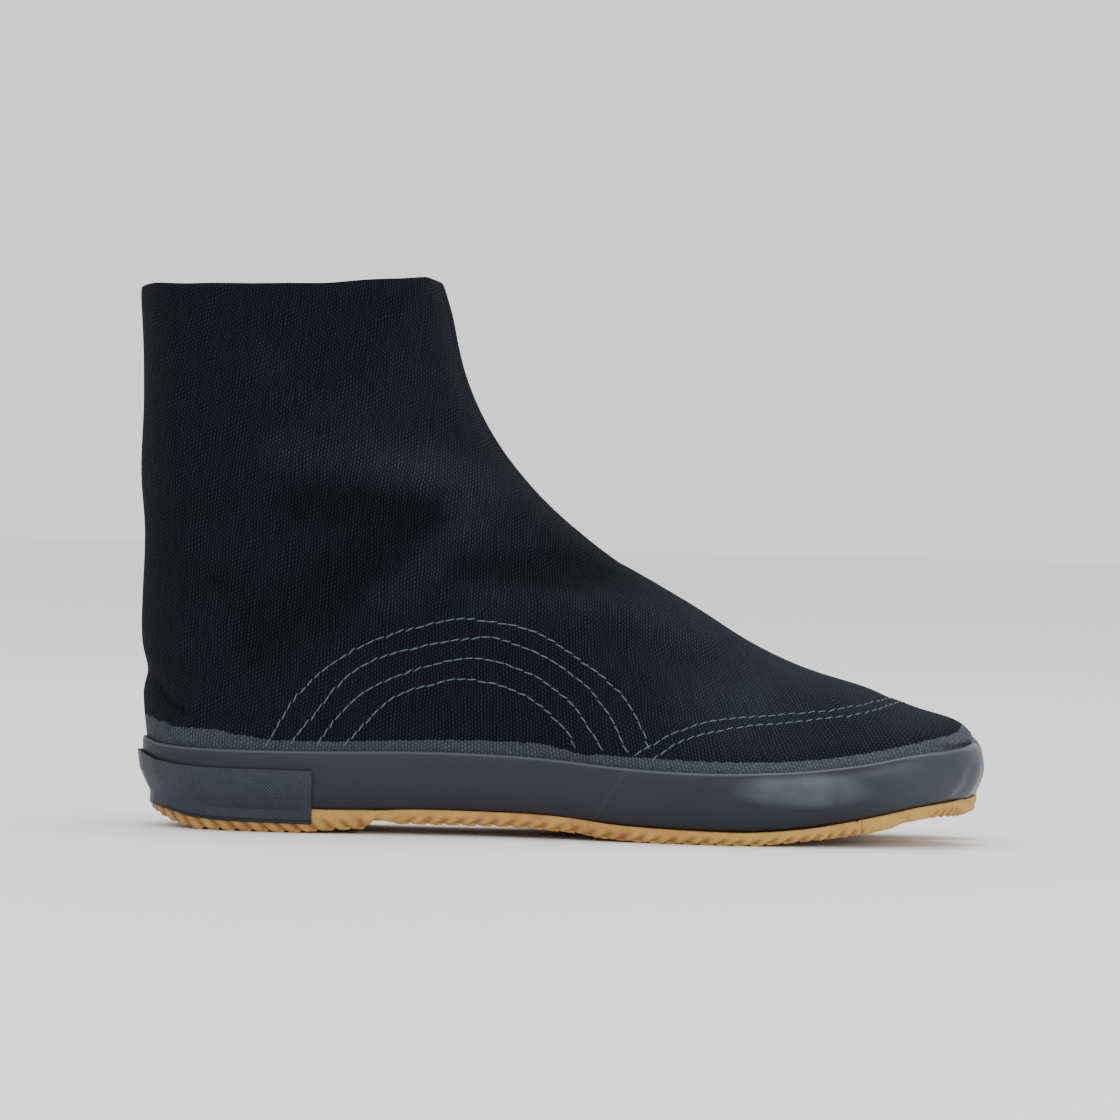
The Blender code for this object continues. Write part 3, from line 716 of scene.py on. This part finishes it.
edit = bmesh.new()
edit.from_mesh(upper.data)
cloth = edit.loops.layers.uv.active
for patch in patches_of(edit, {edge for edge in edit.edges if edge.seam}):
    way = 1.0 if sum(face.normal.y * face.calc_area() for face in patch) < 0 else -1.0
    flat_loops = [loop for face in patch if -way * face.normal.y > 0.8 for loop in face.loops]
    flat_loops = flat_loops or [loop for face in patch for loop in face.loops]
    laid = np.array([complex(*loop[cloth].uv) for loop in flat_loops])
    real = np.array([complex(way * loop.vert.co.x, loop.vert.co.z) / MM for loop in flat_loops])
    turn = (np.conj(laid - laid.mean()) * (real - real.mean())).sum() / (abs(laid - laid.mean()) ** 2).sum()
    for loop in [loop for face in patch for loop in face.loops]:
        place = (complex(*loop[cloth].uv) - laid.mean()) * turn + real.mean()
        loop[cloth].uv = (place.real, place.imag)
edit.to_mesh(upper.data)
edit.free()
apply_modifier(upper, "SUBSURF", levels=2, render_levels=2)

places, facing = points_of(upper)
is_lining = np.zeros(len(places), dtype=bool)
for face in upper.data.polygons:
    if face.material_index:
        is_lining[list(face.vertices)] = True
outward = np.where(is_lining[:, None], -facing, facing)
outer_side = np.clip(-outward[:, 1] * 1.5 + 0.35, 0, 1)
inner_side = np.clip(outward[:, 1] * 1.5 + 0.35, 0, 1)
worn_and_shaded = np.zeros(len(places))
off_centre = places[:, 1] - table(CENTRE_LINE, places[:, 0])
on_seam_line = np.exp(-(off_centre / SEAM_WIDTH) ** 2) * (np.abs(outward[:, 0]) + np.abs(outward[:, 2]) > 0.7)
on_seam_line *= (places[:, 0] < 80) * np.clip((places[:, 2] - 36) / 4, 0, 1)
places = places - outward * (SEAM_DEPTH * on_seam_line)[:, None]
for path, tall, wide in CREASES:
    mirrored = np.array(path) + INNER_CREASE_SHIFT
    pressed = np.exp(-(away_from(path, places[:, (0, 2)]) / wide) ** 2) * outer_side
    pressed_inner = np.exp(-(away_from(mirrored, places[:, (0, 2)]) / wide) ** 2) * inner_side
    pressed += INNER_CREASE_SHARE * pressed_inner
    places = places + outward * (tall * pressed)[:, None]
    # Painted light and shade: fold tops get lighter and troughs darker, on top of the wear.
    worn_and_shaded += FOLD_WEAR_AND_SHADE * tall * pressed
slack = np.array([noise.noise(Vector(place) * SLACK_LUMPS) for place in places])
slack *= np.clip((places[:, 2] - 45) / 30, 0, 1)
places = places + outward * (SLACK * slack)[:, None]
rim_gap = np.array([rim_faces.find_nearest(Vector(place) * MM)[3] for place in places]) / MM
over_rim = np.clip(rim_gap / 2.2, 0, 1) * (places[:, 2] > 33)
places[:, 0] += TIP_PUSH * np.clip((places[:, 0] - 112) / 14, 0, 1) * over_rim
collar = np.clip((places[:, 2] - 165) / 10, 0, 1)
waver = np.array([noise.noise(Vector((place[0] * 0.05, place[1] * 0.05, 7.0))) for place in places])
front_dip = COLLAR_DIP * np.clip((places[:, 0] + 46.5) / 6, 0, 1)
places[:, 2] += collar * (COLLAR_WAVER * waver - front_dip)
move_points(upper, places)

nearest = [rim_faces.find_nearest(vert.co) for vert in upper.data.vertices]
above_rim = np.array([found[3] for found in nearest]) / MM
rim_height = np.array([found[0].z for found in nearest]) / MM
above_rim = np.where(places[:, 2] > rim_height, above_rim, -above_rim)
add_numbers(upper, "cement", above_rim / np.interp(places[:, 0], *zip(*CEMENT)))
fade_and_light = sum(share * np.exp(-(np.hypot(places[:, 0] - x, places[:, 2] - z) / radius) ** 2)
           for x, z, radius, share in FADE_AND_LIGHT_SPOTS)
add_numbers(upper, "faded_and_lit", np.clip(WORN_ALL_OVER + fade_and_light + worn_and_shaded, 0, 1))

canvas, canvas_tree, canvas_shader = new_material("indigo canvas", CANVAS_THREAD, 0.95)
cloth_node = canvas_tree.nodes.new("ShaderNodeUVMap")
cloth_node.uv_map = upper.data.uv_layers.active.name
cloth_at = cloth_node.outputs["UV"]


def weave_of(tree, at, column_pitch, dot_pitch):
    """Height of a plain weave: rows of raised dots, each column half a dot off the next."""
    axes = axes_of(tree, at)
    drift = calc(tree, "MULTIPLY_ADD", cloud(tree, 0.11, 2.0, 0.5, at), 2.4, -1.2)
    across = calc(tree, "DIVIDE", calc(tree, "ADD", axes["X"], drift), column_pitch)
    column = calc(tree, "FLOOR", across)
    off = calc(tree, "MULTIPLY", calc(tree, "MODULO", column, 2.0), 0.5)
    ridge = calc(tree, "SINE", calc(tree, "MULTIPLY", calc(tree, "FRACT", across), math.pi))
    along = calc(tree, "ADD", calc(tree, "DIVIDE", calc(tree, "SUBTRACT", axes["Y"], drift), dot_pitch), off)
    dots = calc(tree, "COSINE", calc(tree, "MULTIPLY", along, 2 * math.pi))
    dots = calc(tree, "MULTIPLY_ADD", dots, 0.5, 0.5)
    strand = tree.nodes.new("ShaderNodeCombineXYZ")
    feed(tree, strand.inputs[0], calc(tree, "MULTIPLY", column, 0.73))
    feed(tree, strand.inputs[1], calc(tree, "MULTIPLY", along, 0.16))
    uneven = calc(tree, "MULTIPLY_ADD", cloud(tree, 1.0, 2.0, 0.6, strand.outputs[0]), 1.3, 0.35)
    raised = calc(tree, "MULTIPLY", calc(tree, "POWER", ridge, 0.9),
                  calc(tree, "MULTIPLY_ADD", dots, 0.62, 0.38))
    return calc(tree, "MULTIPLY", raised, uneven)


weave = weave_of(canvas_tree, cloth_at, COLUMN_PITCH, DOT_PITCH)
slub = cloud(canvas_tree, 0.9, 3.0, 0.6, cloth_at)
dots = calc(canvas_tree, "MULTIPLY", weave, calc(canvas_tree, "MULTIPLY_ADD", slub, 0.9, 0.6))
dots = calc(canvas_tree, "POWER", calc(canvas_tree, "MINIMUM", dots, 1.2), 1.5)
patchy = calc(canvas_tree, "MULTIPLY_ADD", cloud(canvas_tree, 0.035, 4.0, 0.55, cloth_at), 0.9, 0.55)
# The faded numbers carry real fading and dust, and also painted light on the vamp and painted light and shade
# on the folds.
faded_and_lit = calc(canvas_tree, "MULTIPLY", attribute(canvas_tree, "faded_and_lit"), patchy)
thread = tint(canvas_tree, faded_and_lit, CANVAS_THREAD, CANVAS_FADED_AND_LIT)
gap = tint(canvas_tree, calc(canvas_tree, "MULTIPLY", faded_and_lit, 0.22), CANVAS_GAP, CANVAS_FADED_AND_LIT)
canvas_colour = tint(canvas_tree, dots, gap, thread)
ragged = calc(canvas_tree, "MULTIPLY_ADD", cloud(canvas_tree, 0.45, 4.0, 0.6, cloth_at), 0.36, -0.18)
ragged = calc(canvas_tree, "ADD", ragged, calc(canvas_tree, "MULTIPLY_ADD", weave, -0.05, 0.025))
edge_at = calc(canvas_tree, "ADD", attribute(canvas_tree, "cement"), ragged)
cement = calc(canvas_tree, "SUBTRACT", 1.0, between(canvas_tree, edge_at, 0.95, 1.03))
front_light = between(canvas_tree, axes_of(canvas_tree, place_of(canvas_tree))["X"], -0.02, 0.10)
cement_dots = calc(canvas_tree, "MULTIPLY_ADD", weave, 0.62,
                   calc(canvas_tree, "MULTIPLY_ADD", front_light, 0.24, 0.06))
cement_dots = calc(canvas_tree, "MULTIPLY", cement_dots,
                   calc(canvas_tree, "MULTIPLY_ADD", cloud(canvas_tree, 0.7, 4.0, 0.65, cloth_at), 1.5, 0.05))
cement_colour = tint(canvas_tree, cement_dots, CEMENT_COLOUR, CEMENT_LIGHT)
feed(canvas_tree, canvas_shader.inputs["Base Color"], tint(canvas_tree, cement, canvas_colour, cement_colour))
feed(canvas_tree, canvas_shader.inputs["Roughness"], calc(canvas_tree, "MULTIPLY_ADD", cement, -0.3, 0.95))
lift = calc(canvas_tree, "MULTIPLY", weave, calc(canvas_tree, "MULTIPLY_ADD", cement, -0.35, 1.0))
lift = calc(canvas_tree, "ADD", lift, calc(canvas_tree, "MULTIPLY", cement, 0.9))
lift = calc(canvas_tree, "ADD", lift, calc(canvas_tree, "MULTIPLY", slub, 0.3))
bump(canvas_tree, canvas_shader, lift, 0.00035, 0.8)
canvas_shader.inputs["Sheen Weight"].default_value = 0.012
canvas_shader.inputs["Sheen Roughness"].default_value = 0.6
canvas_shader.inputs["Specular IOR Level"].default_value = CANVAS_SPECULAR

lining, lining_tree, lining_shader = new_material("cotton lining", LINING_COLOUR, 0.95)
lining_node = lining_tree.nodes.new("ShaderNodeUVMap")
lining_node.uv_map = cloth_node.uv_map
lining_weave = weave_of(lining_tree, lining_node.outputs["UV"], 0.6, 0.8)
feed(lining_tree, lining_shader.inputs["Base Color"],
     tint(lining_tree, calc(lining_tree, "MULTIPLY", lining_weave, cloud(lining_tree, 300.0, 3.0)),
          [c * 0.55 for c in LINING_COLOUR], [c * 1.7 for c in LINING_COLOUR]))
bump(lining_tree, lining_shader, lining_weave, 0.0002, 0.6)
upper.data.materials.append(canvas)
upper.data.materials.append(lining)
finish(upper, canvas, "upper")


# Four rows of pale cotton thread arch over the side where the arch stay is sewn in, and two rows hold the
# toe cover. Each stitch is a short round strand that dips into the cloth at both ends.
THREAD_COLOUR = (0.078, 0.112, 0.117)
THREAD_ROUND = 0.46
STITCH_PITCH = 3.3
STITCH_SHARE = 1.10
STITCH_DIP = 0.24
STITCH_STAND = 0.10
STITCH_TWIST = (7, 4)
STITCH_STRAY = 0.13
COVER_STITCH_SHARE = 0.88
SEAM_PLANE = -38.0
ARCHES = (
    ((-92.4, 29.2), (-82.3, 45.6), (-64.9, 59.6), (-40.7, 68.1), (-26.8, 69.3), (-6.8, 65.1), (15.4, 50.1),
     (23.5, 40.5), (29.2, 27.0)),
    ((-84.5, 30.1), (-69.7, 48.5), (-56.3, 57.3), (-29.2, 63.7), (-15.9, 62.4), (2.3, 53.6), (14.3, 41.6),
     (22.9, 25.6)),
    ((-76.2, 29.9), (-68.0, 40.6), (-56.4, 49.1), (-31.0, 57.1), (-12.6, 53.9), (1.3, 45.4), (9.4, 35.4),
     (14.4, 26.7)),
    ((-67.7, 29.8), (-54.1, 43.4), (-41.5, 48.5), (-29.2, 50.4), (-12.4, 46.3), (-0.5, 37.4), (6.7, 27.5)),
)
COVER_ROWS = (
    ((24.8, 28.5), (36.0, 35.1), (48.9, 39.5), (65.0, 41.2), (81.1, 42.8), (97.2, 45.4), (103.9, 47.8)),
    ((29.9, 27.1), (40.8, 33.7), (54.6, 37.1), (70.7, 39.1), (89.0, 41.4), (97.2, 42.7), (107.6, 46.6)),
)
COVER_ENDS = (((109.5, 4.5), (106.0, 18.5)), ((113.0, 4.0), (109.5, 19.0)))

cloth_faces = BVHTree.FromPolygons(
    [vert.co.copy() for vert in upper.data.vertices],
    [tuple(face.vertices) for face in upper.data.polygons if face.material_index == 0])


def smooth_path(points, step):
    """Even steps along a soft curve through flat points."""
    points = np.array(points, dtype=float)
    ends = np.vstack([2 * points[0] - points[1], points, 2 * points[-1] - points[-2]])
    fine = []
    for a, b, c, d in zip(ends, ends[1:], ends[2:], ends[3:]):
        for t in np.linspace(0, 1, 12, endpoint=False):
            fine.append(0.5 * (2 * b + (c - a) * t + (2 * a - 5 * b + 4 * c - d) * t ** 2
                               + (3 * b - a - 3 * c + d) * t ** 3))
    fine = np.array(fine + [points[-1]])
    gone = np.concatenate([[0], np.cumsum(np.linalg.norm(np.diff(fine, axis=0), axis=1))])
    at = np.arange(0, gone[-1], step)
    return np.column_stack([np.interp(at, gone, fine[:, k]) for k in range(fine.shape[1])])


def cast(path, side):
    """Lays a flat path on the outer (1) or inner (-1) face of the canvas, as seen square to that side."""
    eye = Vector((CAMERA_AT[0], side * CAMERA_AT[1], CAMERA_AT[2])) * MM
    found = []
    for x, z in path:
        aim = Vector((x, side * SEAM_PLANE, z)) * MM - eye
        spot, normal, _, _ = cloth_faces.ray_cast(eye, aim.normalized())
        if spot is not None and spot.z > 0.02 and side * spot.y < 0.012:
            found.append((spot, normal))
    return found


bpy.ops.object.select_all(action="DESELECT")
bpy.ops.mesh.primitive_uv_sphere_add(segments=8, ring_count=8, radius=0.5, rotation=(0, math.radians(90), 0))
stitch = bpy.context.object
bpy.ops.object.transform_apply(location=True, rotation=True, scale=True)
bpy.ops.object.mode_set(mode="EDIT")
bpy.ops.mesh.select_all(action="SELECT")
bpy.ops.transform.resize(value=(STITCH_PITCH * STITCH_SHARE, THREAD_ROUND, THREAD_ROUND * 0.8))
bpy.ops.object.mode_set(mode="OBJECT")
stitch_points = np.array([tuple(vert.co) for vert in stitch.data.vertices])
stitch_points[:, 2] -= STITCH_DIP * (np.abs(stitch_points[:, 0]) / (STITCH_PITCH * STITCH_SHARE / 2)) ** 2
stitch_faces = [list(face.vertices) for face in stitch.data.polygons]
bpy.data.objects.remove(stitch)


def from_lowest(face):
    """The same face, named from its lowest point on."""
    first = face.index(min(face))
    return tuple(face[first:] + face[:first])


# The sphere's points come in another order on each run, so they are sorted by place.
order = np.lexsort(stitch_points.round(4).T)
rank = np.argsort(order)
stitch_points = stitch_points[order]
stitch_faces = sorted(from_lowest([int(rank[k]) for k in face]) for face in stitch_faces)

chance = random.Random(11)


def sew(name, rows, stretch=1.0):
    """Joins one stitch for each step of the rows into one piece."""
    points, faces = [], []
    for row in rows:
        for (spot, normal), (ahead, _) in zip(row, row[1:]):
            along = ahead - spot
            if along.length > 3 * STITCH_PITCH * MM:
                continue
            along = (along - along.dot(normal) * normal).normalized()
            along = Matrix.Rotation(math.radians(chance.gauss(*STITCH_TWIST)), 3, normal) @ along
            across = normal.cross(along)
            turn = np.array([along, across, normal]).T
            longer = stretch * chance.uniform(0.9, 1.06)
            centre = np.array(spot) / MM + np.array(normal) * STITCH_STAND
            centre += np.array(across) * chance.gauss(0, STITCH_STRAY)
            placed = (stitch_points * (longer, 1.0, 1.0)) @ turn.T + centre
            faces.extend(tuple(k + len(points) for k in face) for face in stitch_faces)
            points.extend(placed.tolist())
    mesh = bpy.data.meshes.new(name)
    mesh.from_pydata((np.array(points) * MM).tolist(), [], faces)
    made = bpy.data.objects.new(name, mesh)
    scene.collection.objects.link(made)
    return made


cotton, cotton_tree, cotton_shader = new_material("pale sewing thread", THREAD_COLOUR, 0.7)
fibre = calc(cotton_tree, "MULTIPLY_ADD", cloud(cotton_tree, 900.0, 4.0, 0.7), 1.6, -0.4)
feed(cotton_tree, cotton_shader.inputs["Base Color"],
     tint(cotton_tree, fibre, [c * 0.6 for c in THREAD_COLOUR], [c * 1.35 for c in THREAD_COLOUR]))
bump(cotton_tree, cotton_shader, cloud(cotton_tree, 4000.0, 2.0), 0.0001, 0.7)


def over_toe(row, x, y):
    """Carries a row on over the top of the toe, from its last stitch to the place given in plan."""
    last = row[-1][0] / MM
    reach = math.hypot(x - last.x, y - last.y)
    for k in range(1, int(reach / STITCH_PITCH) + 1):
        share = k * STITCH_PITCH / reach
        above = Vector((last.x + (x - last.x) * share, last.y + (y - last.y) * share, 90.0)) * MM
        spot, normal, _, _ = cloth_faces.ray_cast(above, Vector((0, 0, -1)))
        row.append((spot, normal))
    return row


def even_row(row):
    """A row with its stitches at even steps again, on a softened path laid back on the canvas."""
    path = np.array([tuple(spot) for spot, _ in row]) / MM
    for _ in range(3):
        path[1:-1] = (path[:-2] + 2 * path[1:-1] + path[2:]) / 4
    gone = np.concatenate([[0], np.cumsum(np.linalg.norm(np.diff(path, axis=0), axis=1))])
    at = np.arange(0, gone[-1], STITCH_PITCH)
    spots = np.column_stack([np.interp(at, gone, path[:, k]) for k in range(3)])
    return [cloth_faces.find_nearest(Vector(spot) * MM)[:2] for spot in spots]


arch_rows = [cast(smooth_path(points, STITCH_PITCH), side) for points in ARCHES for side in (1, -1)]
cover_rows = [even_row(over_toe(cast(smooth_path(points, STITCH_PITCH), side), *end))
              for points, ends in zip(COVER_ROWS, COVER_ENDS) for side, end in zip((1, -1), ends)]
finish(sew("arch_stitches", arch_rows), cotton)
finish(sew("cover_stitches", cover_rows, COVER_STITCH_SHARE), cotton)


# The insole is a thin footbed of felted cloth, lying loose on the gum inside the upper.
# It only shows from above, so it is finished plainly, in felt of softly uneven tone.
FOOTBED_COLOUR = (0.085, 0.080, 0.070)

footbed, footbed_tree, footbed_shader = new_material("footbed cloth", FOOTBED_COLOUR, 0.92)
felt = calc(footbed_tree, "MULTIPLY", cloud(footbed_tree, 900.0, 5.0, 0.7), cloud(footbed_tree, 40.0, 3.0))
feed(footbed_tree, footbed_shader.inputs["Base Color"],
     tint(footbed_tree, felt, [c * 0.6 for c in FOOTBED_COLOUR], [c * 2.0 for c in FOOTBED_COLOUR]))
bump(footbed_tree, footbed_shader, cloud(footbed_tree, 1300.0, 4.0, 0.7), 0.0003, 0.7)
nodes["insole"].material_slots[0].material = footbed
